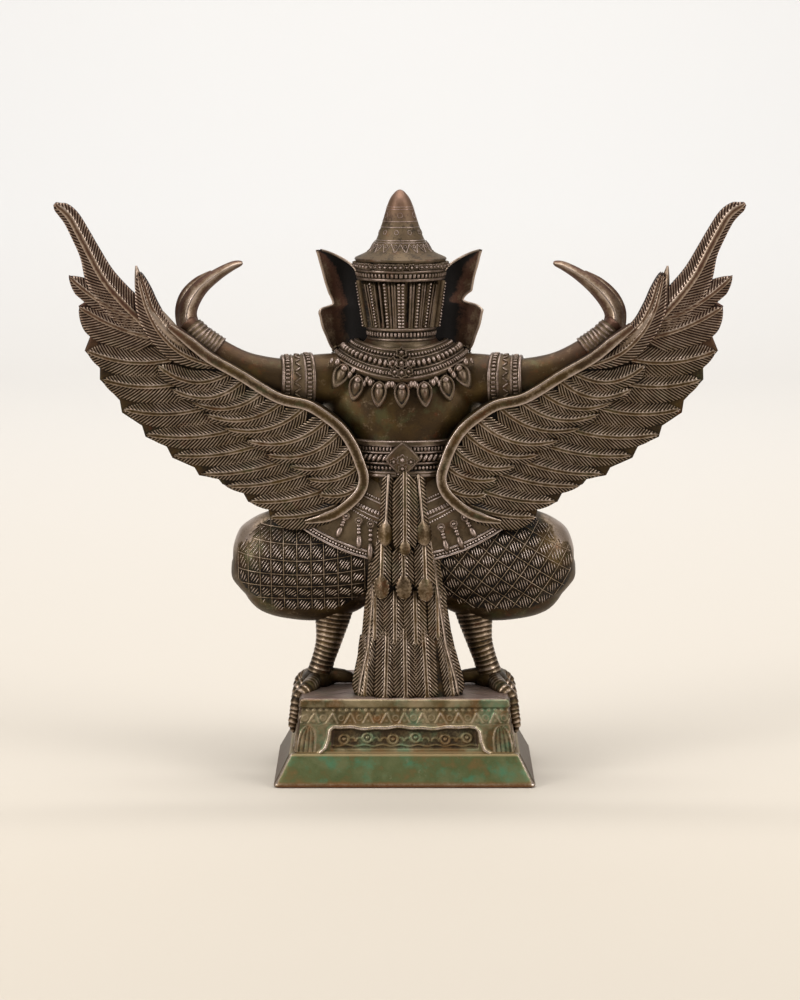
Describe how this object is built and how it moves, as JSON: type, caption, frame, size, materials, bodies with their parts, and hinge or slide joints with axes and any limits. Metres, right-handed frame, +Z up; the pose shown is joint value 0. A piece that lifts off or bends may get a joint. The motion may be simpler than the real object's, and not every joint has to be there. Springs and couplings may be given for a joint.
{
  "type": "bronze garuda figure",
  "caption": "Cast bronze bird-man in a deep squat, arms and feathered wings spread, tall pointed crown, toes gripping a rectangular carved plinth cast with it.",
  "frame": {"origin": "middle of the plinth's flat underside", "axes": "+Z up; the figure faces -Y, its back and the carved tail are towards +Y, and its left wing is towards +X"},
  "size_m": [0.428, 0.122, 0.373],
  "materials": {
    "bronze": "dark brown patinated cast bronze, rubbed bright on high points, dusty in the carving, green on the plinth"
  },
  "bodies": {
    "root": {"garuda_casting": "bronze"}
  },
  "joints": []
}
